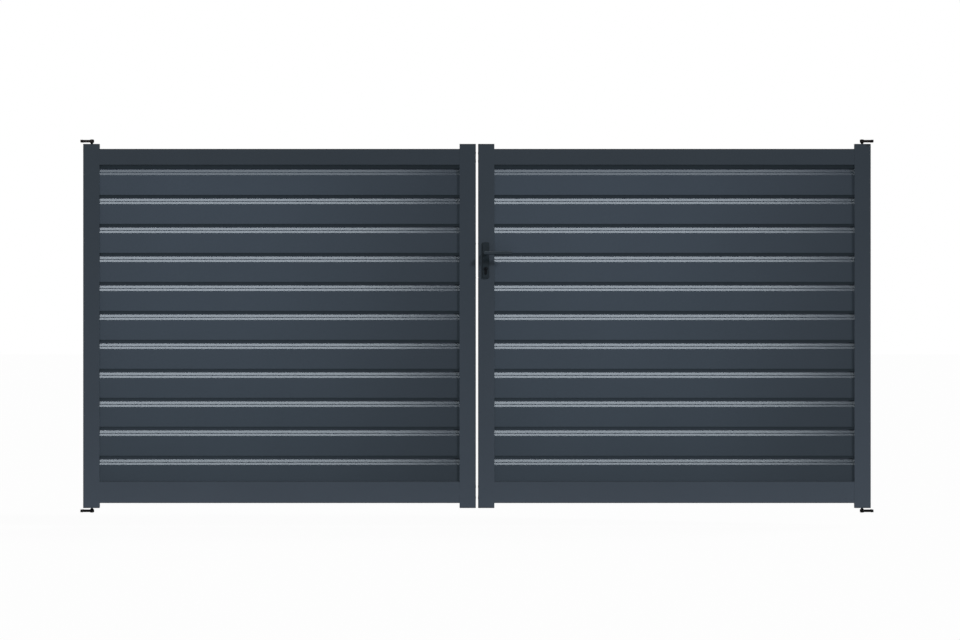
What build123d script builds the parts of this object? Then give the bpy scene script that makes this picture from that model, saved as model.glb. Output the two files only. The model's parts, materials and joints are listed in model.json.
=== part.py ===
"""Double-leaf louvred swing gate, in millimetres.

The origin is on the wall face of the lower left hinge bracket, in line with its pin.
X runs along the gate to the right, Y runs inwards, and Z is up.
"""

import os
from math import radians, tan

from build123d import *

os.makedirs("parts", exist_ok=True)

# Opening between the two pillars, and the gaps round the leaves
opening_width = 3500.0
pillar_gap = 11.0
middle_gap = 10.0

# Stiles: hollow box sections with a louvre channel on the inner side
stile_width = 72.0
stile_depth = 45.0
stile_wall = 2.0
stile_edge = 3.0
channel_depth = 14.0

# Rails: hollow box sections between the stiles
top_rail_height = 72.0
bottom_rail_height = 96.0
rail_depth = 44.0
rail_wall = 2.0
rail_edge = 3.0
rail_inset = 22.0

# Louvres: hollow blades that lap over each other
louvre_count = 11
louvre_pitch = 128.0
louvre_depth = 20.0
louvre_wall = 2.0
louvre_setback = 10.0
louvre_end_gap = 1.0
louvre_fit = 0.3
face_height = 88.0
slope_tilt = 21.0
lower_slope_height = 9.0
riser_height = 3.5
upper_slope_height = 10.5
cove_height = 5.0
cove_run = 3.5
lip_height = 14.0
tongue_thickness = 3.0
lap_gap = 1.5
seat_depth = 15.0
top_reveal = 3.0

# End caps of the stiles
cap_thickness = 4.5
cap_plug_depth = 14.0
cap_plug_fit = 0.2
cap_edge = 0.8

# Hinge brackets, pins and bushes
pin_inset = 37.5
pin_diameter = 10.0
pin_engagement = 24.0
pin_fit = 0.05
bush_wall = 3.0
arm_thickness = 11.0
arm_gap = 7.0
arm_root_width = 36.0
boss_diameter = 20.0
foot_length = 84.0
foot_thickness = 8.0
foot_edge = 1.5
screw_diameter = 6.5
screw_spacing = 62.0
shank_diameter = 12.0
head_diameter = 19.0
head_crown = 12.0
head_height = 2.5
collar_diameter = 18.0
collar_height = 5.0

# Lock set on the meeting stile of the right leaf
spindle_height = 1126.0
lock_backset = 34.0
spindle_size = 8.0
spindle_socket = 14.0
spindle_fit = 0.1
plate_width = 30.0
plate_height = 158.0
plate_above = 47.0
plate_thickness = 7.0
plate_corner = 5.0
plate_edge = 1.5
journal_diameter = 16.0
journal_fit = 0.05
neck_diameter = 21.0
neck_height = 4.0
neck_gap = 0.5
lever_reach = 116.0
lever_height = 15.0
lever_thickness = 9.0
lever_standoff = 44.0
lever_edge = 3.0
spindle_window = 20.0
cylinder_drop = 70.0
cylinder_diameter = 17.0
cylinder_height = 33.0
cylinder_web = 10.0
cylinder_proud = 3.0
cylinder_fit = 0.3

# Mortise lock case and its strike
forend_width = 20.0
forend_height = 168.0
forend_thickness = 2.0
forend_above = 50.0
forend_fit = 0.2
case_width = 15.0
case_height = 150.0
case_depth = 47.0
latch_width = 11.0
latch_height = 18.0
latch_drop = 2.0
bolt_width = 12.0
bolt_height = 26.0
bolt_depth = 16.0
bolt_fit = 0.2
follower_window = 12.0
strike_clearance = 2.0

# Worked-out sizes of a leaf
leaf_width = (opening_width - 2 * pillar_gap - middle_gap) / 2
stack_height = louvre_count * louvre_pitch - seat_depth + top_reveal
leaf_height = 2 * rail_inset + top_rail_height + bottom_rail_height + stack_height
rail_length = leaf_width - 2 * stile_width

# Heights above the origin
leaf_bottom = arm_thickness / 2 + arm_gap
leaf_top = leaf_bottom + leaf_height
bottom_rail_z = leaf_bottom + rail_inset
top_rail_z = leaf_top - rail_inset - top_rail_height
first_louvre_z = bottom_rail_z + bottom_rail_height - seat_depth
spindle_z = leaf_bottom + spindle_height
cylinder_z = spindle_z - cylinder_drop

# Depths, with Y = 0 on the pins
stile_front = -stile_depth / 2
louvre_front = stile_front + louvre_setback
channel_front = louvre_front - louvre_fit
channel_width = louvre_depth + 2 * louvre_fit

# Places along the gate
left_pin_x = pillar_gap + pin_inset
right_pin_x = opening_width - left_pin_x
left_leaf_x = pillar_gap
right_leaf_x = pillar_gap + leaf_width + middle_gap
spindle_x = right_leaf_x + lock_backset
inner_left = left_leaf_x + stile_width
inner_right = right_leaf_x + stile_width


def save(builder, name):
    """Label a finished piece and write it under its name."""
    builder.part.label = name
    export_step(builder.part, f"parts/{name}.step")


def add_bevelled_rectangle(width, height, edge):
    """Draw a rectangle whose four corners are cut at 45 degrees."""
    half_width = width / 2
    half_height = height / 2
    Polygon(
        (half_width, edge - half_height),
        (half_width, half_height - edge),
        (half_width - edge, half_height),
        (edge - half_width, half_height),
        (-half_width, half_height - edge),
        (-half_width, edge - half_height),
        (edge - half_width, -half_height),
        (half_width - edge, -half_height),
        align=None,
    )


def add_lock_profile(fit):
    """Draw the profile cylinder's keyhole shape, grown by fit all round."""
    foot = cylinder_height - cylinder_diameter / 2
    web_radius = cylinder_web / 2 + fit
    Circle(cylinder_diameter / 2 + fit)
    with Locations((0, -(foot - cylinder_web / 2) / 2)):
        Rectangle(2 * web_radius, foot - cylinder_web / 2)
    with Locations((0, -(foot - cylinder_web / 2))):
        Circle(web_radius)


def add_cylinder_window():
    """Draw the plain opening that the cylinder passes inside the stile, hidden by the plates."""
    with Locations((0, (cylinder_diameter - cylinder_height) / 2)):
        Rectangle(cylinder_diameter + 2 * cylinder_fit, cylinder_height + 2 * cylinder_fit)


def front_plane(x, y, z):
    """A plane that faces the viewer at the front, with its X along the gate."""
    return Plane(origin=(x, y, z), x_dir=(1, 0, 0), z_dir=(0, -1, 0))


def edge_plane(x, z):
    """An upright plane across the gate that faces +X, centred on the stile's depth."""
    return Plane(origin=(x, 0, z), x_dir=(0, 1, 0), z_dir=(1, 0, 0))


# Stiles: bevelled on the outer side, with the louvre channel on the side that inward points to
def make_stile(name, centre_x, inward, lock_cut=None):
    channel_x = centre_x + inward * (stile_width - channel_depth) / 2
    outer_side = 0 if inward > 0 else -1
    with BuildPart() as stile:
        with BuildSketch(Plane.XY.offset(leaf_bottom + cap_thickness)) as outline:
            with Locations((centre_x, 0)):
                Rectangle(stile_width, stile_depth)
            chamfer(outline.vertices().group_by(Axis.X)[outer_side], stile_edge)
            with Locations((channel_x, channel_front + channel_width / 2)):
                Rectangle(channel_depth, channel_width, mode=Mode.SUBTRACT)
            offset(amount=-stile_wall, kind=Kind.INTERSECTION, mode=Mode.SUBTRACT)
        extrude(amount=leaf_height - 2 * cap_thickness)
        if lock_cut == "lock":
            forend_z = spindle_z + forend_above - forend_height / 2
            with BuildSketch(edge_plane(right_leaf_x, forend_z)):
                Rectangle(forend_width + 2 * forend_fit, forend_height + 2 * forend_fit)
            extrude(amount=stile_wall, mode=Mode.SUBTRACT)
            with BuildSketch(front_plane(spindle_x, -stile_front, spindle_z)):
                Rectangle(spindle_window, spindle_window)
                with Locations((0, -cylinder_drop)):
                    add_cylinder_window()
            extrude(amount=stile_depth, mode=Mode.SUBTRACT)
        if lock_cut == "strike":
            forend_z = spindle_z + forend_above - forend_height / 2
            with BuildSketch(edge_plane(left_leaf_x + leaf_width, forend_z)):
                Rectangle(forend_width + 2 * forend_fit, forend_height + 2 * forend_fit)
            extrude(amount=-stile_wall, mode=Mode.SUBTRACT)
    save(stile, name)


left_hinge_x = left_leaf_x + stile_width / 2
left_meeting_x = left_leaf_x + leaf_width - stile_width / 2
right_meeting_x = right_leaf_x + stile_width / 2
right_hinge_x = right_leaf_x + leaf_width - stile_width / 2

make_stile("left_hinge_stile", left_hinge_x, 1)
make_stile("left_meeting_stile", left_meeting_x, -1, "strike")
make_stile("right_meeting_stile", right_meeting_x, 1, "lock")
make_stile("right_hinge_stile", right_hinge_x, -1)


# Stile end caps: a plate over the end with a plug in the hollow, bored for the hinge bush
def make_caps(name, hinge_x, meeting_x, inward, pin_x):
    plug_width = stile_width - channel_depth - 2 * stile_wall - 2 * cap_plug_fit
    plug_depth = stile_depth - 2 * stile_wall - 2 * cap_plug_fit
    with BuildPart() as caps:
        for end_z, up in ((leaf_top, 1), (leaf_bottom, -1)):
            plate = Plane(origin=(0, 0, end_z), x_dir=(1, 0, 0), z_dir=(0, 0, up))
            with BuildSketch(plate) as outline:
                with Locations((hinge_x, 0), (meeting_x, 0)):
                    Rectangle(stile_width, stile_depth)
                corners = outline.vertices().group_by(Axis.X)
                chamfer(corners[0] + corners[-1], stile_edge)
            extrude(amount=-cap_thickness)
        chamfer(caps.faces().filter_by(Axis.Z).edges(), cap_edge)
        for end_z, up in ((leaf_top, 1), (leaf_bottom, -1)):
            plate = Plane(origin=(0, 0, end_z), x_dir=(1, 0, 0), z_dir=(0, 0, up))
            with BuildSketch(plate.offset(-cap_thickness)):
                hinge_plug_x = hinge_x - inward * channel_depth / 2
                meeting_plug_x = meeting_x + inward * channel_depth / 2
                with Locations((hinge_plug_x, 0), (meeting_plug_x, 0)):
                    add_bevelled_rectangle(plug_width, plug_depth, stile_edge)
            extrude(amount=-cap_plug_depth)
            with BuildSketch(plate):
                with Locations((pin_x, 0)):
                    Circle(pin_diameter / 2 + pin_fit + bush_wall)
            extrude(amount=-(cap_thickness + cap_plug_depth), mode=Mode.SUBTRACT)
    save(caps, name)


make_caps("left_stile_caps", left_hinge_x, left_meeting_x, 1, left_pin_x)
make_caps("right_stile_caps", right_hinge_x, right_meeting_x, -1, right_pin_x)


# Bushes that the hinge pins turn in
def make_bushes(name, pin_x):
    bush_length = cap_thickness + cap_plug_depth
    with BuildPart() as bushes:
        for low_z in (leaf_bottom, leaf_top - bush_length):
            with BuildSketch(Plane.XY.offset(low_z)):
                with Locations((pin_x, 0)):
                    Circle(pin_diameter / 2 + pin_fit + bush_wall)
                    Circle(pin_diameter / 2 + pin_fit, mode=Mode.SUBTRACT)
            extrude(amount=bush_length)
    save(bushes, name)


make_bushes("left_hinge_bushes", left_pin_x)
make_bushes("right_hinge_bushes", right_pin_x)


# Louvre section, from the lip's lower edge: setbacks run inwards from the face
lower_slope_run = lower_slope_height * tan(radians(slope_tilt))
upper_slope_run = upper_slope_height * tan(radians(slope_tilt))
shoulder_top = face_height + lower_slope_height + riser_height + upper_slope_height + cove_height
tongue_setback = lower_slope_run + upper_slope_run + cove_run
tongue_front = louvre_front + tongue_setback
tongue_top = louvre_pitch + lip_height
skirt_drop = louvre_pitch - shoulder_top - lap_gap


# Rails: the top rail's groove takes the last tongue, the bottom rail's seat takes the first louvre
def make_rail(name, low_x, low_z, height, notch_z, notch_depth, notch_front, notch_width):
    with BuildPart() as rail:
        with BuildSketch(Plane.YZ.offset(low_x)):
            with Locations((0, low_z + height / 2)):
                add_bevelled_rectangle(rail_depth, height, rail_edge)
            with Locations((notch_front + notch_width / 2, notch_z)):
                Rectangle(notch_width, 2 * notch_depth, mode=Mode.SUBTRACT)
            offset(amount=-rail_wall, kind=Kind.INTERSECTION, mode=Mode.SUBTRACT)
        extrude(amount=rail_length)
    save(rail, name)


for side, low_x in (("left", inner_left), ("right", inner_right)):
    make_rail(
        f"{side}_top_rail",
        low_x,
        top_rail_z,
        top_rail_height,
        top_rail_z,
        lip_height - top_reveal + louvre_fit,
        tongue_front - louvre_fit,
        tongue_thickness + 2 * louvre_fit,
    )
    make_rail(
        f"{side}_bottom_rail",
        low_x,
        bottom_rail_z,
        bottom_rail_height,
        bottom_rail_z + bottom_rail_height,
        seat_depth + skirt_drop,
        channel_front,
        channel_width,
    )


# Louvres
def make_louvre(name, low_x, lip_z):
    """One blade: flat face, two slopes with a riser between, tongue above, and a lip and skirt below."""
    section_origin = (low_x - channel_depth + louvre_end_gap, louvre_front, lip_z)
    riser_foot = (lower_slope_run, face_height + lower_slope_height)
    riser_top = (lower_slope_run, riser_foot[1] + riser_height)
    slope_top = (riser_top[0] + upper_slope_run, riser_top[1] + upper_slope_height)
    with BuildPart() as louvre:
        with BuildSketch(Plane(origin=section_origin, x_dir=(0, 1, 0), z_dir=(1, 0, 0))):
            with BuildLine():
                Polyline(
                    (0, lip_height),
                    (0, face_height),
                    riser_foot,
                    riser_top,
                    slope_top,
                    (tongue_setback, shoulder_top),
                    (louvre_depth, shoulder_top),
                    (louvre_depth, lip_height),
                    close=True,
                )
            make_face()
            offset(amount=-louvre_wall, kind=Kind.INTERSECTION, mode=Mode.SUBTRACT)
            with Locations((tongue_setback, shoulder_top)):
                Rectangle(tongue_thickness, tongue_top - shoulder_top, align=(Align.MIN, Align.MIN))
            with Locations((0, 0)):
                Rectangle(louvre_wall, lip_height, align=(Align.MIN, Align.MIN))
            with Locations((louvre_depth - louvre_wall, -skirt_drop)):
                Rectangle(louvre_wall, lip_height + skirt_drop, align=(Align.MIN, Align.MIN))
        extrude(amount=rail_length + 2 * channel_depth - 2 * louvre_end_gap)
    save(louvre, name)


for side, low_x in (("left", inner_left), ("right", inner_right)):
    for course in range(louvre_count):
        make_louvre(f"{side}_louvre_{course + 1:02d}", low_x, first_louvre_z + course * louvre_pitch)


# Hinge brackets: a screwed foot with an arm that tapers to the pin's boss
def make_bracket(name, wall_x, pin_x, centre_z):
    away = 1 if pin_x > wall_x else -1
    foot_x = wall_x + away * foot_thickness / 2
    with BuildPart() as bracket:
        with BuildSketch(Plane.XY.offset(centre_z - arm_thickness / 2)):
            with Locations((foot_x, 0)):
                Rectangle(foot_thickness, foot_length)
            with Locations((pin_x, 0)):
                Circle(boss_diameter / 2)
            with BuildLine():
                Polyline(
                    (foot_x, -arm_root_width / 2),
                    (pin_x, -boss_diameter / 2),
                    (pin_x, boss_diameter / 2),
                    (foot_x, arm_root_width / 2),
                    close=True,
                )
            make_face()
            with Locations((pin_x, 0)):
                Circle(shank_diameter / 2 + pin_fit, mode=Mode.SUBTRACT)
        extrude(amount=arm_thickness)
        with BuildSketch(Plane(origin=(wall_x, 0, centre_z), x_dir=(0, 1, 0), z_dir=(away, 0, 0))):
            with Locations((-screw_spacing / 2, 0), (screw_spacing / 2, 0)):
                Circle(screw_diameter / 2)
        extrude(amount=foot_thickness, mode=Mode.SUBTRACT)
        foot_ends = bracket.faces().filter_by(Axis.Y).edges().filter_by(Axis.Z)
        chamfer(foot_ends.group_by(Axis.X)[-1 if away > 0 else 0], foot_edge)
    save(bracket, name)


lower_z = leaf_bottom - arm_gap - arm_thickness / 2
upper_z = leaf_top + arm_gap + arm_thickness / 2

make_bracket("lower_left_bracket", 0, left_pin_x, lower_z)
make_bracket("upper_left_bracket", 0, left_pin_x, upper_z)
make_bracket("lower_right_bracket", opening_width, right_pin_x, lower_z)
make_bracket("upper_right_bracket", opening_width, right_pin_x, upper_z)


# Hinge pins: domed head outside the arm, tapered collar inside it, spigot in the bush
def make_pins(name, pin_x):
    with BuildPart() as pins:
        for centre_z, up in ((lower_z, 1), (upper_z, -1)):
            outer = -arm_thickness / 2
            inner = arm_thickness / 2
            tip = inner + arm_gap + pin_engagement
            pin_plane = Plane(origin=(pin_x, 0, centre_z), x_dir=(1, 0, 0), z_dir=(0, -up, 0))
            with BuildSketch(pin_plane):
                with BuildLine():
                    Polyline(
                        (0, outer - head_height),
                        (head_crown / 2, outer - head_height),
                        (head_diameter / 2, outer),
                        (shank_diameter / 2, outer),
                        (shank_diameter / 2, inner),
                        (collar_diameter / 2, inner),
                        (pin_diameter / 2, inner + collar_height),
                        (pin_diameter / 2, tip),
                        (0, tip),
                        close=True,
                    )
                make_face()
            revolve(axis=Axis(pin_plane.origin, (0, 0, 1)))
    save(pins, name)


make_pins("left_hinge_pins", left_pin_x)
make_pins("right_hinge_pins", right_pin_x)


# Handle plates, front and back
def make_handle_plate(name, face_y, out):
    plate_plane = Plane(origin=(spindle_x, face_y, spindle_z), x_dir=(-out, 0, 0), z_dir=(0, out, 0))
    with BuildPart() as plate:
        with BuildSketch(plate_plane):
            with Locations((0, plate_above - plate_height / 2)):
                RectangleRounded(plate_width, plate_height, plate_corner)
        extrude(amount=plate_thickness)
        rim = plate.faces().sort_by(Axis.Y)[-1 if out > 0 else 0].edges()
        chamfer(rim, plate_edge)
        with BuildSketch(plate_plane):
            Circle(journal_diameter / 2 + journal_fit)
            with Locations((0, -cylinder_drop)):
                add_lock_profile(cylinder_fit)
        extrude(amount=plate_thickness, mode=Mode.SUBTRACT)
    save(plate, name)


make_handle_plate("front_handle_plate", stile_front, -1)
make_handle_plate("back_handle_plate", -stile_front, 1)


# Levers, front and back, on one square spindle
def make_lever(name, face_y, out):
    lever_plane = Plane(origin=(spindle_x, face_y, spindle_z), x_dir=(1, 0, 0), z_dir=(0, out, 0))
    grip_start = plate_thickness + lever_standoff - lever_thickness
    grip_end = lever_height / 2
    with BuildPart() as lever:
        with BuildSketch(lever_plane.offset(grip_start)):
            with Locations(((lever_reach - grip_end) / 2, 0)):
                SlotOverall(lever_reach + grip_end, lever_height)
        extrude(amount=lever_thickness)
        with BuildSketch(edge_plane(spindle_x, spindle_z)):
            with Locations((face_y + out * (grip_start + lever_thickness / 2), 0)):
                RectangleRounded(lever_thickness, lever_height, lever_edge)
        extrude(amount=lever_reach, both=True, mode=Mode.INTERSECT)
        with BuildSketch(lever_plane):
            Circle(journal_diameter / 2)
        extrude(amount=grip_start + lever_thickness / 2)
        with BuildSketch(lever_plane.offset(plate_thickness + neck_gap)):
            Circle(neck_diameter / 2)
        extrude(amount=neck_height)
        with BuildSketch(lever_plane):
            Rectangle(spindle_size + 2 * spindle_fit, spindle_size + 2 * spindle_fit)
        extrude(amount=spindle_socket, mode=Mode.SUBTRACT)
    save(lever, name)


make_lever("front_lever", stile_front, -1)
make_lever("back_lever", -stile_front, 1)

with BuildPart() as spindle:
    with BuildSketch(front_plane(spindle_x, -stile_front + spindle_socket, spindle_z)):
        Rectangle(spindle_size, spindle_size)
    extrude(amount=stile_depth + 2 * spindle_socket)
save(spindle, "lever_spindle")

# Profile cylinder through both plates
cylinder_length = stile_depth + 2 * (plate_thickness + cylinder_proud)
with BuildPart() as cylinder:
    with BuildSketch(front_plane(spindle_x, cylinder_length / 2, cylinder_z)):
        add_lock_profile(0)
    extrude(amount=cylinder_length)
save(cylinder, "lock_cylinder")

# Mortise lock: forend flush in the stile's edge, with its case behind
forend_z = spindle_z + forend_above - forend_height / 2
latch_z = spindle_z - latch_drop
with BuildPart() as lock:
    with BuildSketch(edge_plane(right_leaf_x, forend_z)):
        Rectangle(forend_width, forend_height)
    extrude(amount=forend_thickness)
    with BuildSketch(edge_plane(right_leaf_x + forend_thickness, forend_z)):
        Rectangle(case_width, case_height)
    extrude(amount=case_depth)
    with BuildSketch(front_plane(spindle_x, case_width / 2, spindle_z)):
        Rectangle(follower_window, follower_window)
        with Locations((0, -cylinder_drop)):
            add_cylinder_window()
    extrude(amount=case_width, mode=Mode.SUBTRACT)
    with BuildSketch(edge_plane(right_leaf_x, latch_z)):
        Rectangle(latch_width + 2 * bolt_fit, latch_height + 2 * bolt_fit)
        with Locations((0, cylinder_z - latch_z)):
            Rectangle(bolt_width + 2 * bolt_fit, bolt_height + 2 * bolt_fit)
    extrude(amount=bolt_depth, mode=Mode.SUBTRACT)
save(lock, "mortise_lock")

# Latch and dead bolt, both drawn back flush with the forend
with BuildPart() as bolts:
    with BuildSketch(edge_plane(right_leaf_x, latch_z)):
        Rectangle(latch_width, latch_height)
        with Locations((0, cylinder_z - latch_z)):
            Rectangle(bolt_width, bolt_height)
    extrude(amount=bolt_depth)
save(bolts, "lock_bolts")

# Strike plate in the edge of the left leaf, open where the bolts enter
strike_x = left_leaf_x + leaf_width
with BuildPart() as strike:
    with BuildSketch(edge_plane(strike_x, forend_z)):
        Rectangle(forend_width, forend_height)
    extrude(amount=-forend_thickness)
    with BuildSketch(edge_plane(strike_x, latch_z)):
        Rectangle(latch_width + 2 * strike_clearance, latch_height + 2 * strike_clearance)
        with Locations((0, cylinder_z - latch_z)):
            Rectangle(bolt_width + 2 * strike_clearance, bolt_height + 2 * strike_clearance)
    extrude(amount=-forend_thickness, mode=Mode.SUBTRACT)
save(strike, "strike_plate")

print("leaf", leaf_width, "by", leaf_height)
print("pins at", left_pin_x, "and", right_pin_x)
print("leaf bottom", leaf_bottom, "leaf top", leaf_top)
print("spindle", spindle_x, spindle_z)
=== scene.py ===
# %% [markdown]
# # A double-leaf louvred gate
# The gate's own solids come in as a fixed frame, each piece in its own object. This lesson gives
# them their finishes, adds the small fasteners that the solids leave out, and lights the whole
# as in a plain studio. Every length is in metres.

# %% Load the frame
import bpy
import json
import math
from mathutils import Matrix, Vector


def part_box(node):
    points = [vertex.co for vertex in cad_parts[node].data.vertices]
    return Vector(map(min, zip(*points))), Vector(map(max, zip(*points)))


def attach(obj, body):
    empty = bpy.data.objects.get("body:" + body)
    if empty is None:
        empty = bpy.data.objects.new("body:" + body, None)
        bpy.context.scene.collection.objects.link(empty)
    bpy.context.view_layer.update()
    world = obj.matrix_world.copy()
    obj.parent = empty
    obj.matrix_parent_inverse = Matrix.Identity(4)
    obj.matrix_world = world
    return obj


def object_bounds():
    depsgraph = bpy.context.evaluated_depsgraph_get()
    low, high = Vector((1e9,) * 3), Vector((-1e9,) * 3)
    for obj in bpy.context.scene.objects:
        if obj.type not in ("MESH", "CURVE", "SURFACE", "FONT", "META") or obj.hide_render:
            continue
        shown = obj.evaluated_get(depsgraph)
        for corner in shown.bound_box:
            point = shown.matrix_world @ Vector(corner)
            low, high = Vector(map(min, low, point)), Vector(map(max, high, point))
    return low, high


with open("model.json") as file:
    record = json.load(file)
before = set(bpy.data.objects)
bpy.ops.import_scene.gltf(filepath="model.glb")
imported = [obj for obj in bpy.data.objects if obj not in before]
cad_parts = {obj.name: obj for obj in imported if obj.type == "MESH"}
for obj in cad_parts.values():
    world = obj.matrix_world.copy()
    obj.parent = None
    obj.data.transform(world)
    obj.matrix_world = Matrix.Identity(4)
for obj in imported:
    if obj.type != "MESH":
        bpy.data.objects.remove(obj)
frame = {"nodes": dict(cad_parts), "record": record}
nodes = frame["nodes"]
record = frame["record"]
cad_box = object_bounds()
bpy.ops.object.select_all(action="DESELECT")
print("nodes", len(nodes), "box", [tuple(round(v, 3) for v in corner) for corner in cad_box])

# %% [markdown]
# The camera stands far back at about half the gate's height, with a long lens, so that the
# rails and louvres stay level and the two leaves look alike. A near camera with a short lens
# would show the undersides of the upper louvres and the tops of the lower ones. Its aim is a
# little right of the gate's middle and a little above it, as the picture is framed.

# %% Camera
low, high = (Vector(corner) for corner in cad_box)
middle = (low + high) / 2
view_distance = 30.0
view_width = 4.242
aim_right = 0.0134
aim_up = 0.0264
sensor_width = 36.0

camera_data = bpy.data.cameras.new("camera")
camera_data.sensor_width = sensor_width
camera_data.lens = sensor_width * view_distance / view_width
camera = bpy.data.objects.new("camera", camera_data)
bpy.context.collection.objects.link(camera)
camera.location = (middle.x + aim_right, middle.y - view_distance, middle.z + aim_up)
camera.rotation_euler = (math.radians(90), 0, 0)
bpy.context.scene.camera = camera
bpy.context.scene.view_settings.view_transform = "Standard"
print("lens", round(camera_data.lens, 1), "mm")

# %% [markdown]
# Every finish here is a node material, so two helpers come first. One makes an empty material
# with its shader, and the other puts a finish on the slots of the gate's own pieces. The pieces
# themselves are never moved or reshaped.


# %% Helpers for materials
def new_material(name):
    """An empty node material with its output and a Principled BSDF."""
    material = bpy.data.materials.new(name)
    material.use_nodes = True
    tree = material.node_tree
    tree.nodes.clear()
    output = tree.nodes.new("ShaderNodeOutputMaterial")
    shader = tree.nodes.new("ShaderNodeBsdfPrincipled")
    tree.links.new(shader.outputs["BSDF"], output.inputs["Surface"])
    return material, tree, shader


def new_group(name, inputs, outputs):
    """An empty shader group with named sockets, and its two end nodes."""
    group = bpy.data.node_groups.new(name, "ShaderNodeTree")
    for way, sockets in (("INPUT", inputs), ("OUTPUT", outputs)):
        for socket, kind in sockets.items():
            group.interface.new_socket(socket, in_out=way, socket_type=f"NodeSocket{kind}")
    enter = group.nodes.new("NodeGroupInput")
    leave = group.nodes.new("NodeGroupOutput")
    return group, enter, leave


def sums(tree, operation, first, second):
    """The output of one math node; each term is a socket or a number."""
    node = tree.nodes.new("ShaderNodeMath")
    node.operation = operation
    for socket, term in zip(node.inputs, (first, second)):
        if isinstance(term, float):
            socket.default_value = term
        else:
            tree.links.new(term, socket)
    return node.outputs["Value"]


def noise(tree, scale, detail, vector):
    """The output of one noise texture over the given coordinates."""
    node = tree.nodes.new("ShaderNodeTexNoise")
    node.inputs["Scale"].default_value = scale
    node.inputs["Detail"].default_value = detail
    tree.links.new(vector, node.inputs["Vector"])
    return node.outputs["Fac"]


def dress(material, name):
    """Give a finish to every slot of the named CAD node."""
    for slot in nodes[name].material_slots:
        slot.material = material


print("slots", sorted({subpart["material_slot"] for subpart in record["subparts"]}))

# %% [markdown]
# The leaves are aluminium sections under powder coat: dry paint, sprayed on and melted in an
# oven. Looked at closely it has a fine orange peel, and its tone wanders a little over a length.
# The group also paints shade into the colour. The sharp 45 degree bevels are darkened, a thin
# frame round each section that stands in for the dark lines the edges show under the light. The
# bottom of the lap between two blades is darkened too, as painted shade under each blade's lip,
# and most of all near the top, where less light comes up from the ground. The peel could be
# modelled or drawn in an image, but noise on the object's own coordinates stays the same size on
# every piece. The painted edge shade comes from the surface's direction, as only the 45 degree
# bevels face between two axes, and the painted lap shade from its depth behind the face. One
# group holds all of it, and each coated piece sets its own colours, from its foot to its head,
# which also paints light and shade that change with height.


# %% Powder coat group
grain_scale, grain_detail = 420.0, 2.0
cloud_scale, cloud_detail = 3.0, 4.0
least_tone, tone_span = 0.92, 0.16
height_light_curve = 0.6
bevel_limit = 0.83
underside_limit = -0.1
lap_y, lap_reach = -0.001, 0.0015
rough_span = 0.08
peel_height = 0.0002


def powder_group():
    """The colour, roughness and grain of powder coat, with painted light and shade in the colour.
    """
    group, enter, leave = new_group(
        "powder coat",
        {
            "Foot": "Color",
            "Head": "Color",
            "Edge Shade": "Float",
            "Lap Shade": "Float",
            "Roughness": "Float",
            "Peel": "Float",
        },
        {"Color": "Color", "Roughness": "Float", "Normal": "Vector"},
    )
    link = group.links.new
    place = group.nodes.new("ShaderNodeTexCoord")
    grain = noise(group, grain_scale, grain_detail, place.outputs["Object"])
    cloud = noise(group, cloud_scale, cloud_detail, place.outputs["Object"])

    spot = group.nodes.new("ShaderNodeSeparateXYZ")
    link(place.outputs["Object"], spot.inputs["Vector"])
    rise = group.nodes.new("ShaderNodeMapRange")
    rise.inputs["From Min"].default_value = low.z
    rise.inputs["From Max"].default_value = high.z
    link(spot.outputs["Z"], rise.inputs["Value"])
    # Painted light and shade: the colour changes from the foot to the head with height.
    tone = group.nodes.new("ShaderNodeMix")
    tone.data_type = "RGBA"
    link(sums(group, "POWER", rise.outputs["Result"], height_light_curve), tone.inputs["Factor"])
    link(enter.outputs["Foot"], tone.inputs["A"])
    link(enter.outputs["Head"], tone.inputs["B"])

    # Painted edge shade: bevels that face between two axes, and not downwards, are darkened.
    facing = group.nodes.new("ShaderNodeVectorMath")
    facing.operation = "ABSOLUTE"
    link(place.outputs["Normal"], facing.inputs["Vector"])
    axes = group.nodes.new("ShaderNodeSeparateXYZ")
    link(facing.outputs["Vector"], axes.inputs["Vector"])
    nearest = sums(group, "MAXIMUM", axes.outputs["X"], axes.outputs["Y"])
    nearest = sums(group, "MAXIMUM", nearest, axes.outputs["Z"])
    bevel = sums(group, "LESS_THAN", nearest, bevel_limit)
    sides = group.nodes.new("ShaderNodeSeparateXYZ")
    link(place.outputs["Normal"], sides.inputs["Vector"])
    upward = sums(group, "GREATER_THAN", sides.outputs["Z"], underside_limit)
    edge_shade = sums(group, "MULTIPLY", sums(group, "MULTIPLY", bevel, upward), enter.outputs["Edge Shade"])

    wander = sums(group, "MULTIPLY_ADD", cloud, tone_span)
    wander.node.inputs[2].default_value = least_tone
    # Painted lap shade: faces set back in the lap between blades are darkened, more so towards
    # the top.
    deep = sums(group, "COMPARE", spot.outputs["Y"], lap_y)
    deep.node.inputs[2].default_value = lap_reach
    lap_shade = sums(group, "MULTIPLY", deep, enter.outputs["Lap Shade"])
    lap_shade = sums(group, "MULTIPLY", lap_shade, rise.outputs["Result"])
    shade = sums(group, "MULTIPLY", wander, sums(group, "SUBTRACT", 1.0, edge_shade))
    shade = sums(group, "MULTIPLY", shade, sums(group, "SUBTRACT", 1.0, lap_shade))
    colour = group.nodes.new("ShaderNodeVectorMath")
    colour.operation = "SCALE"
    link(tone.outputs["Result"], colour.inputs[0])
    link(shade, colour.inputs["Scale"])
    link(colour.outputs["Vector"], leave.inputs["Color"])

    rough = sums(group, "MULTIPLY_ADD", grain, rough_span)
    link(enter.outputs["Roughness"], rough.node.inputs[2])
    link(rough, leave.inputs["Roughness"])
    bump = group.nodes.new("ShaderNodeBump")
    bump.inputs["Distance"].default_value = peel_height
    link(enter.outputs["Peel"], bump.inputs["Strength"])
    link(grain, bump.inputs["Height"])
    link(bump.outputs["Normal"], leave.inputs["Normal"])
    return group


coat_group = powder_group()
print("powder coat nodes", len(coat_group.nodes))

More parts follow.
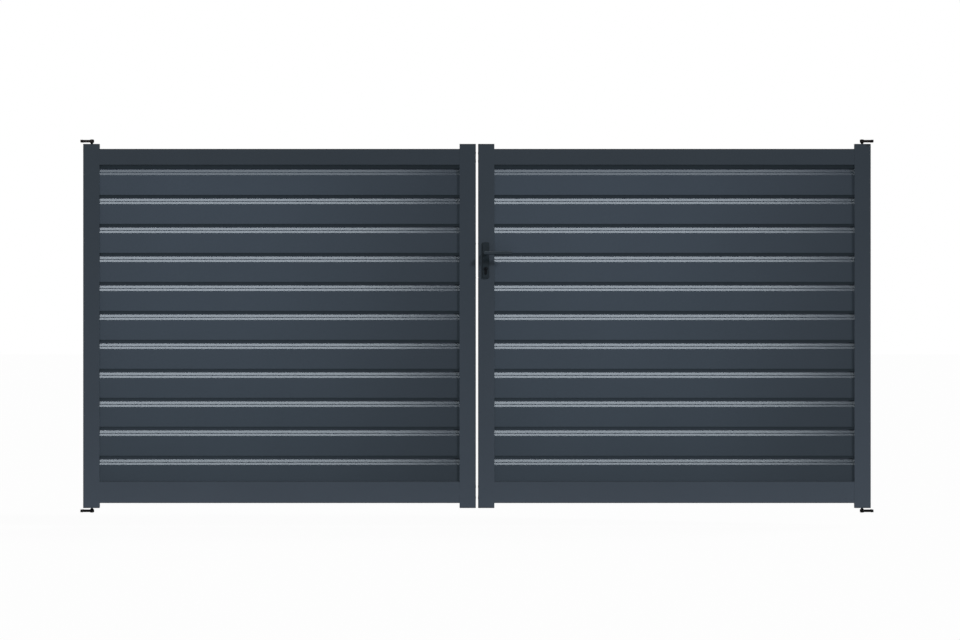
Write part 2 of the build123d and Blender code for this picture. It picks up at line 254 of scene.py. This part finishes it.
# %% [markdown]
# The lock's case, forend, strike and spindle are bare steel, drawn through rolls, so they carry
# fine lines along their length. An image of brushed metal would repeat and would need a map of
# each piece. The same noise as above does it once its coordinates are squeezed lengthwise by a
# Mapping node. It only moves colour and roughness, as real brushing does at this scale.


# %% Brushed steel group
line_stretch = (900.0, 900.0, 12.0)
line_detail = 3.0
line_rough = 0.15


def brushed_group():
    """The colour and roughness of drawn steel, in fine upright lines."""
    group, enter, leave = new_group(
        "brushed steel",
        {"Dark": "Color", "Light": "Color", "Roughness": "Float"},
        {"Color": "Color", "Roughness": "Float"},
    )
    link = group.links.new
    place = group.nodes.new("ShaderNodeTexCoord")
    squeeze = group.nodes.new("ShaderNodeMapping")
    squeeze.inputs["Scale"].default_value = line_stretch
    link(place.outputs["Object"], squeeze.inputs["Vector"])
    lines = noise(group, 1.0, line_detail, squeeze.outputs["Vector"])
    colour = group.nodes.new("ShaderNodeMix")
    colour.data_type = "RGBA"
    link(lines, colour.inputs["Factor"])
    link(enter.outputs["Dark"], colour.inputs["A"])
    link(enter.outputs["Light"], colour.inputs["B"])
    link(colour.outputs["Result"], leave.inputs["Color"])
    rough = sums(group, "MULTIPLY_ADD", lines, line_rough)
    link(enter.outputs["Roughness"], rough.node.inputs[2])
    link(rough, leave.inputs["Roughness"])
    return group


steel_group = brushed_group()
print("brushed steel nodes", len(steel_group.nodes))

# %% [markdown]
# Each finish puts a group into a material of its own and sets its colours there. The frame's
# foot is clearly lighter than its head, painted light as if more came up from below, and the
# blades keep nearly one tone, a little darker at the foot as painted shade. The brackets and
# pins have a flat black paint, the lock set a softer one, and the bushes, seals and cover plugs
# are moulded. What is the same all over a surface, such as the specular level, is set on the
# shader itself. The anthracite paints tint their gloss blue, so that even their darkest parts
# stay blue, as in the picture. A bluer base colour alone would turn the lit faces too blue.


# %% Finishes
blue_gloss = (0.6, 0.85, 1.0)
plain_gloss = (1.0, 1.0, 1.0)


def coated(name, foot, head, edge_shade, roughness, peel, specular, gloss=plain_gloss, lap_shade=0.0):
    """A powder-coated finish that goes from one colour at the foot to another at the head."""
    material, tree, shader = new_material(name)
    coat = tree.nodes.new("ShaderNodeGroup")
    coat.node_tree = coat_group
    coat.inputs["Foot"].default_value = (*foot, 1)
    coat.inputs["Head"].default_value = (*head, 1)
    coat.inputs["Edge Shade"].default_value = edge_shade
    coat.inputs["Lap Shade"].default_value = lap_shade
    coat.inputs["Roughness"].default_value = roughness
    coat.inputs["Peel"].default_value = peel
    tree.links.new(coat.outputs["Color"], shader.inputs["Base Color"])
    tree.links.new(coat.outputs["Roughness"], shader.inputs["Roughness"])
    tree.links.new(coat.outputs["Normal"], shader.inputs["Normal"])
    shader.inputs["Specular IOR Level"].default_value = specular
    shader.inputs["Specular Tint"].default_value = (*gloss, 1)
    return material


def brushed(name, dark, light, roughness):
    """A bare metal with fine lines."""
    material, tree, shader = new_material(name)
    metal = tree.nodes.new("ShaderNodeGroup")
    metal.node_tree = steel_group
    metal.inputs["Dark"].default_value = (*dark, 1)
    metal.inputs["Light"].default_value = (*light, 1)
    metal.inputs["Roughness"].default_value = roughness
    tree.links.new(metal.outputs["Color"], shader.inputs["Base Color"])
    tree.links.new(metal.outputs["Roughness"], shader.inputs["Roughness"])
    shader.inputs["Metallic"].default_value = 1.0
    return material


# The frame is lighter at its foot as painted light, with painted shade on its bevels.
frame_coat = coated(
    "frame coat",
    foot=(0.0595, 0.073, 0.094),
    head=(0.0255, 0.0318, 0.041),
    edge_shade=0.5,
    roughness=0.28,
    peel=0.12,
    specular=0.2,
    gloss=blue_gloss,
)
# The blades are a little darker at the foot and in the laps, as painted shade.
louvre_coat = coated(
    "louvre coat",
    foot=(0.0232, 0.028, 0.0352),
    head=(0.0259, 0.0309, 0.0402),
    edge_shade=0.0,
    roughness=0.15,
    peel=0.03,
    specular=0.22,
    gloss=blue_gloss,
    lap_shade=0.7,
)
# The caps are lighter at the foot as painted light, with painted shade on their bevels.
cap_coat = coated(
    "cap coat",
    foot=(0.0575, 0.070, 0.089),
    head=(0.0243, 0.0305, 0.039),
    edge_shade=0.5,
    roughness=0.36,
    peel=0.2,
    specular=0.2,
    gloss=blue_gloss,
)
hinge_black = (0.002, 0.0025, 0.003)
plate_black = (0.0085, 0.012, 0.0155)
lever_black = (0.012, 0.017, 0.023)
nylon_black = (0.012, 0.012, 0.013)
hinge_coat = coated(
    "hinge coat", hinge_black, hinge_black, edge_shade=0.3, roughness=0.5, peel=0.3, specular=0.06
)
plate_coat = coated(
    "plate coat",
    plate_black,
    plate_black,
    edge_shade=0.3,
    roughness=0.45,
    peel=0.3,
    specular=0.14,
    gloss=blue_gloss,
)
lever_coat = coated(
    "lever coat",
    lever_black,
    lever_black,
    edge_shade=0.0,
    roughness=0.45,
    peel=0.2,
    specular=0.17,
    gloss=blue_gloss,
)
bush_nylon = coated(
    "bush nylon", nylon_black, nylon_black, edge_shade=0.0, roughness=0.5, peel=0.1, specular=0.3
)
lock_steel = brushed(
    "lock steel", dark=(0.26, 0.27, 0.28), light=(0.36, 0.37, 0.38), roughness=0.26
)
screw_steel = brushed(
    "screw steel", dark=(0.40, 0.40, 0.41), light=(0.48, 0.48, 0.49), roughness=0.22
)
cylinder_dark = brushed(
    "cylinder dark", dark=(0.003, 0.004, 0.005), light=(0.005, 0.0065, 0.008), roughness=0.5
)

finish_of = {
    "frame_coat": frame_coat,
    "louvre_coat": louvre_coat,
    "cap_coat": cap_coat,
    "hinge_black": hinge_coat,
    "handle_black": plate_coat,
    "bush_nylon": bush_nylon,
    "lock_steel": lock_steel,
    "cylinder_nickel": cylinder_dark,
}
for subpart in record["subparts"]:
    dress(finish_of[subpart["material_slot"]], subpart["node"])
for name in ("front_lever", "back_lever"):
    dress(lever_coat, name)
print("dressed", len(record["subparts"]), "pieces in", len(finish_of), "finishes")

# %% [markdown]
# Bolts, cover plugs, screws, key plugs and seals finish the gate. There are six kinds of them,
# and each is modelled once, with its head up on the origin, and then copied to its places, each
# copy with its own mesh. The helpers here serve all of them: they open a primitive in edit mode,
# pick its top face, step that face in, close the piece, join or cut by a boolean and send the
# copies to their places on the gate.


# %% Helpers for modelling
smooth_angle = math.radians(30)
disc_sides = 24


def start_piece(name, add, **sizes):
    """Add a primitive, alone in the selection, and open it in edit mode."""
    bpy.ops.object.select_all(action="DESELECT")
    add(**sizes)
    piece = bpy.context.object
    piece.name = name
    bpy.ops.object.mode_set(mode="EDIT")
    bpy.ops.mesh.select_mode(type="FACE")
    bpy.ops.mesh.select_all(action="DESELECT")
    return piece


def pick_top(piece):
    """Select the highest face, the one that looks along the fastener."""
    bpy.ops.mesh.select_all(action="DESELECT")
    bpy.ops.object.mode_set(mode="OBJECT")
    top = max(piece.data.polygons, key=lambda face: (face.center.z, face.normal.z))
    top.select = True
    bpy.ops.object.mode_set(mode="EDIT")


def step_in(inset, rise):
    """Inset the selected face and lift it, which leaves a slope round it."""
    bpy.ops.mesh.inset(thickness=inset)
    bpy.ops.transform.translate(value=(0, 0, rise))


def close_piece(piece):
    """Leave edit mode, smooth the round faces and put the place into the mesh."""
    bpy.ops.object.mode_set(mode="OBJECT")
    bpy.ops.object.transform_apply(location=True, rotation=True, scale=True)
    bpy.ops.object.shade_smooth_by_angle(angle=smooth_angle)
    return piece


def combine(piece, other, operation):
    """Join another piece to this one, or cut it out, by a boolean, and throw the other away."""
    bpy.ops.object.select_all(action="DESELECT")
    piece.select_set(True)
    bpy.context.view_layer.objects.active = piece
    bpy.ops.object.modifier_add(type="BOOLEAN")
    piece.modifiers[-1].operation = operation
    piece.modifiers[-1].object = other
    bpy.ops.object.modifier_apply(modifier=piece.modifiers[-1].name)
    bpy.data.objects.remove(other)


riders = {}


def send_out(master, places, finish):
    """Copy a master to each place, its head along the given direction, and delete the master."""
    master.data.materials.clear()
    master.data.materials.append(finish)
    for name, body, point, direction in places:
        copy = master.copy()
        copy.data = master.data.copy()
        copy.name = name
        bpy.context.collection.objects.link(copy)
        copy.location = point
        copy.rotation_euler = Vector(direction).to_track_quat("Z", "Y").to_euler()
        bpy.ops.object.select_all(action="DESELECT")
        copy.select_set(True)
        bpy.context.view_layer.objects.active = copy
        bpy.ops.object.transform_apply(location=True, rotation=True, scale=True)
        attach(copy, body)
        riders[copy] = body
    faces = len(master.data.polygons)
    print(master.name, "copies", len(places), "faces each", faces)
    bpy.data.objects.remove(master)


# %% [markdown]
# Each bracket's foot is screwed to its pillar by two bolts with a flange under a hexagon. The
# flange starts as a round disc whose top is stepped in to a shallow cone. The hexagon is a
# second primitive in the same mesh, and its top is stepped in too, as a bolt's corners are
# turned off. The two could be joined by a boolean, but where one simply sits in the other the
# faces stay clean. A small bevel by a modifier takes the sharpness off both.

# %% Foot bolts
flange_radius = 0.0065
flange_height = 0.0014
hexagon_radius = 0.0055
hexagon_height = 0.004
flange_slope = (0.001, 0.0004)
hexagon_slope = (0.0008, 0.0004)
bolt_bevel = 0.0002
foot_thickness = 0.008
bolt_offset = 0.031

bolt = start_piece(
    "foot_bolt",
    bpy.ops.mesh.primitive_cylinder_add,
    vertices=disc_sides,
    radius=flange_radius,
    depth=flange_height,
    location=(0, 0, flange_height / 2),
)
pick_top(bolt)
step_in(*flange_slope)
bpy.ops.mesh.primitive_cylinder_add(
    vertices=6, radius=hexagon_radius, depth=hexagon_height, location=(0, 0, hexagon_height / 2)
)
pick_top(bolt)
step_in(*hexagon_slope)
close_piece(bolt)
bpy.ops.object.modifier_add(type="BEVEL")
bolt.modifiers[-1].width = bolt_bevel
bpy.ops.object.modifier_apply(modifier=bolt.modifiers[-1].name)

bolt_places = []
for side, towards in (("left", 1), ("right", -1)):
    for level in ("lower", "upper"):
        foot_low, foot_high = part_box(f"{level}_{side}_bracket")
        wall_x = foot_low[0] if towards > 0 else foot_high[0]
        centre_z = (foot_low[2] + foot_high[2]) / 2
        for end, y in (("front", -bolt_offset), ("back", bolt_offset)):
            point = (wall_x + towards * foot_thickness, y, centre_z)
            name = f"{level}_{side}_{end}_bolt"
            bolt_places.append((name, "hinge_brackets", point, (towards, 0, 0)))
send_out(bolt, bolt_places, hinge_coat)

# %% [markdown]
# The rails are screwed on through the stiles. Where those screws go in, on the outer side of
# each stile, a flat nylon plug covers the hole. It stands out so little that the gap between
# the leaves stays clear. It is a disc whose top is stepped in twice, first steeply and then
# nearly flat. A squashed half sphere would come out pointed or thick at so low a height.

# %% Cover plugs
plug_radius = 0.006
plug_height = 0.0003
plug_shoulder = (0.0008, 0.0002)
plug_crown = (0.0022, 0.0001)

plug = start_piece(
    "cover_plug",
    bpy.ops.mesh.primitive_cylinder_add,
    vertices=disc_sides,
    radius=plug_radius,
    depth=plug_height,
    location=(0, 0, plug_height / 2),
)
pick_top(plug)
step_in(*plug_shoulder)
step_in(*plug_crown)
close_piece(plug)

plug_places = []
for side in ("left", "right"):
    for stile in ("hinge", "meeting"):
        stile_low, stile_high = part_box(f"{side}_{stile}_stile")
        leftwards = (side == "left") == (stile == "hinge")
        edge_x = stile_low[0] if leftwards else stile_high[0]
        outwards = (-1, 0, 0) if leftwards else (1, 0, 0)
        for rail in ("top", "bottom"):
            rail_low, rail_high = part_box(f"{side}_{rail}_rail")
            quarter = (rail_high[2] - rail_low[2]) / 4
            for level, z in (("lower", rail_low[2] + quarter), ("upper", rail_high[2] - quarter)):
                name = f"{side}_{stile}_{rail}_{level}_plug"
                plug_places.append((name, f"{side}_leaf", (edge_x, 0, z), outwards))
send_out(plug, plug_places, bush_nylon)

# %% [markdown]
# The forend, the strike and the back handle plate are held by countersunk screws with a hexagon
# socket. Only the heads show. The head is a low disc stepped in to a faint crown, and a six-sided
# cutter sinks the socket. A key's hexagon could also be bridged to the round rim by hand, but
# the boolean keeps the crown whole.

# %% Countersunk screws
head_radius = 0.0034
head_height = 0.0004
head_crown = (0.0009, 0.0002)
socket_radius = 0.0017
socket_depth = 0.0004
lock_screw_inset = 0.009
plate_screw_inset = 0.012

screw = start_piece(
    "countersunk_screw",
    bpy.ops.mesh.primitive_cylinder_add,
    vertices=disc_sides,
    radius=head_radius,
    depth=head_height,
    location=(0, 0, head_height / 2),
)
pick_top(screw)
step_in(*head_crown)
close_piece(screw)
socket = start_piece(
    "socket_cutter",
    bpy.ops.mesh.primitive_cylinder_add,
    vertices=6,
    radius=socket_radius,
    depth=2 * socket_depth,
    location=(0, 0, head_height + head_crown[1]),
)
close_piece(socket)
combine(screw, socket, "DIFFERENCE")

screw_places = []
for node, body, towards in (
    ("mortise_lock", "right_leaf", -1),
    ("strike_plate", "left_leaf", 1),
):
    plate_low, plate_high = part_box(node)
    edge_x = plate_low[0] if towards < 0 else plate_high[0]
    lower_z, upper_z = plate_low[2] + lock_screw_inset, plate_high[2] - lock_screw_inset
    for level, z in (("lower", lower_z), ("upper", upper_z)):
        name = f"{node}_{level}_screw"
        screw_places.append((name, body, (edge_x, 0, z), (towards, 0, 0)))
plate_low, plate_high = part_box("back_handle_plate")
plate_x = (plate_low[0] + plate_high[0]) / 2
lower_z, upper_z = plate_low[2] + plate_screw_inset, plate_high[2] - plate_screw_inset
for level, z in (("lower", lower_z), ("upper", upper_z)):
    name = f"back_plate_{level}_screw"
    screw_places.append((name, "right_leaf", (plate_x, plate_high[1], z), (0, 1, 0)))
send_out(screw, screw_places, screw_steel)

# %% [markdown]
# The profile cylinder turns by a key from both sides. Its round plug stands a little proud of
# the body and has an upright keyway. The keyway is cut by a narrow block that goes nearly
# through the plug, so that its inside stays dark.

# %% Key plugs
key_radius = 0.0056
key_height = 0.0008
key_edge = (0.0004, 0.0002)
keyway_width = 0.0014
keyway_length = 0.0078
keyway_depth = 1.6 * key_height
cylinder_radius = 0.0085

key_plug = start_piece(
    "key_plug",
    bpy.ops.mesh.primitive_cylinder_add,
    vertices=32,
    radius=key_radius,
    depth=key_height,
    location=(0, 0, key_height / 2),
)
pick_top(key_plug)
step_in(*key_edge)
close_piece(key_plug)
keyway = start_piece(
    "keyway_cutter", bpy.ops.mesh.primitive_cube_add, size=1, location=(0, 0, key_height)
)
bpy.ops.mesh.select_all(action="SELECT")
bpy.ops.transform.resize(value=(keyway_width, keyway_length, keyway_depth))
close_piece(keyway)
combine(key_plug, keyway, "DIFFERENCE")

body_low, body_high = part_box("lock_cylinder")
key_x = (body_low[0] + body_high[0]) / 2
key_z = body_high[2] - cylinder_radius
key_places = [
    ("front_key_plug", "right_leaf", (key_x, body_low[1], key_z), (0, -1, 0)),
    ("back_key_plug", "right_leaf", (key_x, body_high[1], key_z), (0, 1, 0)),
]
send_out(key_plug, key_places, cylinder_dark)

# %% [markdown]
# A thin rubber seal lines the opening round the cylinder, a little behind the face of each
# handle plate. It keeps the rain out of the lock and closes the narrow gap to the light. Its
# outline is the cylinder's own, a disc with a narrower rounded foot. That keyhole is built
# twice, once wide and once bare, from two discs and a block, and the bare one is cut out of the
# wide one. A swept tube would be round in section and leave the gap open behind it.

# %% Cylinder seals
web_radius = 0.005
web_drop = 0.0195
seal_fit = 0.0003
seal_depth = 0.0015
seal_setback = 0.002


def keyhole(name, fit, depth):
    """The cylinder's outline, grown by fit all round, as a slab about the origin."""
    parts = []
    for kind, radius, y in (("body", cylinder_radius, 0), ("foot", web_radius, -web_drop)):
        disc = start_piece(
            f"{name}_{kind}",
            bpy.ops.mesh.primitive_cylinder_add,
            vertices=64,
            radius=radius + fit,
            depth=depth,
            location=(0, y, 0),
        )
        parts.append(close_piece(disc))
    web = start_piece(
        f"{name}_web", bpy.ops.mesh.primitive_cube_add, size=1, location=(0, -web_drop / 2, 0)
    )
    bpy.ops.mesh.select_all(action="SELECT")
    bpy.ops.transform.resize(value=(2 * (web_radius + fit), web_drop, depth))
    parts.append(close_piece(web))
    for part in parts[1:]:
        combine(parts[0], part, "UNION")
    return parts[0]


seal = keyhole("cylinder_seal", seal_fit, seal_depth)
combine(seal, keyhole("bare_cylinder", 0.0, 2 * seal_depth), "DIFFERENCE")
front_seal_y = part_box("front_handle_plate")[0][1] + seal_setback
back_seal_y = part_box("back_handle_plate")[1][1] - seal_setback
seal_places = [
    ("front_cylinder_seal", "right_leaf", (key_x, front_seal_y, key_z), (0, -1, 0)),
    ("back_cylinder_seal", "right_leaf", (key_x, back_seal_y, key_z), (0, 1, 0)),
]
send_out(seal, seal_places, bush_nylon)
for name, *_ in seal_places:
    heights = [vertex.co.z for vertex in bpy.data.objects[name].data.vertices]
    print(name, "from", round(min(heights), 4), "to", round(max(heights), 4))

# %% [markdown]
# Each lever is clamped on its square spindle by a grub screw from below, in the lever's round
# neck. It has a socket like the other screws, but it is so small that a stepped disc will do:
# its top is stepped in to a land and then back down into a round recess.

# %% Grub screws
grub_radius = 0.0017
grub_height = 0.0006
grub_edge = (0.0003, 0.0001)
grub_land = (0.0003, 0.0)
grub_recess = (0.00005, -0.0005)
grub_drop = 0.0103
neck_out = 0.0025

grub = start_piece(
    "grub_screw",
    bpy.ops.mesh.primitive_cylinder_add,
    vertices=18,
    radius=grub_radius,
    depth=grub_height,
    location=(0, 0, grub_height / 2),
)
pick_top(grub)
step_in(*grub_edge)
step_in(*grub_land)
step_in(*grub_recess)
close_piece(grub)

spindle_low, spindle_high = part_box("lever_spindle")
grub_z = (spindle_low[2] + spindle_high[2]) / 2 - grub_drop
front_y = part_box("front_handle_plate")[0][1] - neck_out
back_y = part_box("back_handle_plate")[1][1] + neck_out
grub_places = [
    (f"{side}_grub_screw", "lever_handle", (plate_x, y, grub_z), (0, 0, -1))
    for side, y in (("front", front_y), ("back", back_y))
]
send_out(grub, grub_places, lever_coat)

# %% [markdown]
# The light is a plain studio. The blades' two narrow slopes look up and forward, so from the
# camera they mirror whatever hangs above the viewer, and a long soft lamp there draws the two
# bright lines along every blade. It serves only as that mirror image, so it gives no matt light.
# In the picture the lines fade towards the right end of each leaf. One lamp over both leaves
# would fade only once, so each leaf has its own, by light linking, and it stops before the
# leaf's right end. The top blade is half hidden by its rail and gets half of it. A broad lamp
# close in front of each leaf lights only the blades and stops early too, which gives their faces
# the slow fall of tone to the right. A far lamp from the right throws the thin shadow that each
# stile lays on the ends of the blades, and another from behind serves the gate's inner side.


# %% Lamps
key_colour = (1.0, 0.79, 0.73)
fill_colour = (0.83, 0.93, 1.0)


def receivers(name, pieces):
    """A collection of the pieces that a lamp lights."""
    group = bpy.data.collections.new(name)
    for piece in pieces:
        group.objects.link(piece)
    return group


def pieces_but(left_out):
    """All pieces but those that ride on one body."""
    skipped = record["behaviour"]["bodies"][left_out]
    solids = [piece for node, piece in nodes.items() if node not in skipped]
    return solids + [piece for piece, body in riders.items() if body != left_out]


def lamp(name, size_x, size_y, radiance, colour, place, aim, lit):
    """A soft rectangular lamp at place that looks at aim and lights the given pieces."""
    data = bpy.data.lights.new(name, "AREA")
    data.shape = "RECTANGLE"
    data.size = size_x
    data.size_y = size_y
    data.energy = radiance * math.pi * size_x * size_y
    data.color = colour
    shape = bpy.data.objects.new(name, data)
    bpy.context.collection.objects.link(shape)
    shape.location = place
    direction = Vector(aim) - Vector(place)
    shape.rotation_euler = direction.to_track_quat("-Z", "Y").to_euler()
    shape.light_linking.receiver_collection = lit
    shape.visible_camera = False
    return shape


key_distance = 5.0
key_elevation = math.radians(42)
key_height = 1.7
key_radiance = 23.5
shaded_share = 0.5
key_overhang = 0.9
fade_inset = 0.2
key_out = key_distance * math.cos(key_elevation)
key_up = key_distance * math.sin(key_elevation)
mirror_scale = 1 + key_distance / view_distance
fill_out = 0.7
fill_start = 0.3
fill_stop = 0.4
fill_size = 2.2
fill_rise = 0.25
fill_radiance = 1.25
for side, other in (("left", "right"), ("right", "left")):
    leaf_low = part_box(f"{side}_bottom_rail")[0][0]
    leaf_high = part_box(f"{side}_bottom_rail")[1][0]
    start = middle.x + (leaf_low - key_overhang - middle.x) * mirror_scale
    stop = middle.x + (leaf_high - fade_inset - middle.x) * mirror_scale
    place = ((start + stop) / 2, middle.y - key_out, middle.z + key_up)
    aim = ((start + stop) / 2, middle.y, middle.z)
    blades = [piece for node, piece in sorted(nodes.items()) if node.startswith(f"{side}_louvre")]
    others = [piece for piece in pieces_but(f"{other}_leaf") if piece != blades[-1]]
    for share, lit_pieces in ((1.0, others), (shaded_share, blades[-1:])):
        lit = receivers(f"{side} key {share}", lit_pieces)
        radiance = share * key_radiance
        key = lamp(
            f"{side} key lamp", stop - start, key_height, radiance, key_colour, place, aim, lit
        )
        key.visible_diffuse = False
    lit = receivers(f"lit by {side} fill", blades)
    start, stop = leaf_low - fill_start, leaf_high - fill_stop
    place = ((start + stop) / 2, middle.y - fill_out, middle.z + fill_rise)
    aim = ((start + stop) / 2, middle.y, middle.z + fill_rise)
    fill = lamp(
        f"{side} fill lamp", stop - start, fill_size, fill_radiance, fill_colour, place, aim, lit
    )
    fill.visible_glossy = False
    print(side, "key lights", len(others), "pieces, fill lights", len(blades))


def far_lamp(name, azimuth, elevation, strength, spread):
    """A broad lamp from far away; the azimuth turns from the front to the right."""
    data = bpy.data.lights.new(name, "SUN")
    data.energy = strength
    data.angle = math.radians(spread)
    shape = bpy.data.objects.new(name, data)
    bpy.context.collection.objects.link(shape)
    turn, rise = math.radians(azimuth), math.radians(elevation)
    towards = Vector((
        math.sin(turn) * math.cos(rise),
        -math.cos(turn) * math.cos(rise),
        math.sin(rise),
    ))
    shape.rotation_euler = (-towards).to_track_quat("-Z", "Y").to_euler()
    print(name, "comes from", tuple(round(v, 2) for v in towards))


far_lamp("side lamp", azimuth=50, elevation=32, strength=2.6, spread=8)
far_lamp("back lamp", azimuth=150, elevation=38, strength=1.6, spread=20)

# %% [markdown]
# The background is white where it is seen, straight, in gloss or through glass, and only a dim
# grey as light, so that it never washes out the paint. Light Path's ray kinds tell the two
# apart.


# %% World
def white_where_seen(tree):
    """The factor that is 1 for rays of the camera, of gloss and of glass."""
    path = tree.nodes.new("ShaderNodeLightPath")
    seen = path.outputs["Is Camera Ray"]
    for kind in ("Is Glossy Ray", "Is Transmission Ray"):
        seen = sums(tree, "MAXIMUM", seen, path.outputs[kind])
    return seen


world_light = 0.13
world = bpy.data.worlds.new("studio")
bpy.context.scene.world = world
world.use_nodes = True
tree = world.node_tree
tree.nodes.clear()
output = tree.nodes.new("ShaderNodeOutputWorld")
white = tree.nodes.new("ShaderNodeBackground")
white.inputs["Color"].default_value = (1, 1, 1, 1)
grey = tree.nodes.new("ShaderNodeBackground")
grey.inputs["Color"].default_value = (1, 1, 1, 1)
grey.inputs["Strength"].default_value = world_light
mix = tree.nodes.new("ShaderNodeMixShader")
tree.links.new(white_where_seen(tree), mix.inputs["Fac"])
tree.links.new(grey.outputs["Background"], mix.inputs[1])
tree.links.new(white.outputs["Background"], mix.inputs[2])
tree.links.new(mix.outputs["Shader"], output.inputs["Surface"])
print("world light", world_light)

# %% [markdown]
# The floor is a wide pale plane a little below the leaves, which hang free of the ground. Bright
# paint alone would show a grey horizon, and a glow alone would hide the gate's shadow. So the
# floor is matt paint mixed with a glow that only the camera and gloss see: it looks white,
# sends soft light up to the gate, and keeps a trace of its shadow.

# %% Floor
floor_size = 300.0
floor_drop = 0.06
floor_glow = 0.96
floor_grey = 0.7
bpy.ops.object.select_all(action="DESELECT")
floor_place = (middle.x, middle.y, low.z - floor_drop)
bpy.ops.mesh.primitive_plane_add(size=floor_size, location=floor_place)
floor = bpy.context.object
floor.name = "floor"
floor_paint = bpy.data.materials.new("floor paint")
floor_paint.use_nodes = True
tree = floor_paint.node_tree
tree.nodes.clear()
output = tree.nodes.new("ShaderNodeOutputMaterial")
paint = tree.nodes.new("ShaderNodeBsdfDiffuse")
paint.inputs["Color"].default_value = (floor_grey, floor_grey, floor_grey, 1)
glow = tree.nodes.new("ShaderNodeEmission")
mix = tree.nodes.new("ShaderNodeMixShader")
tree.links.new(sums(tree, "MULTIPLY", white_where_seen(tree), floor_glow), mix.inputs["Fac"])
tree.links.new(paint.outputs["BSDF"], mix.inputs[1])
tree.links.new(glow.outputs["Emission"], mix.inputs[2])
tree.links.new(mix.outputs["Shader"], output.inputs["Surface"])
floor.data.materials.append(floor_paint)
print("floor at", round(floor.location.z, 3))
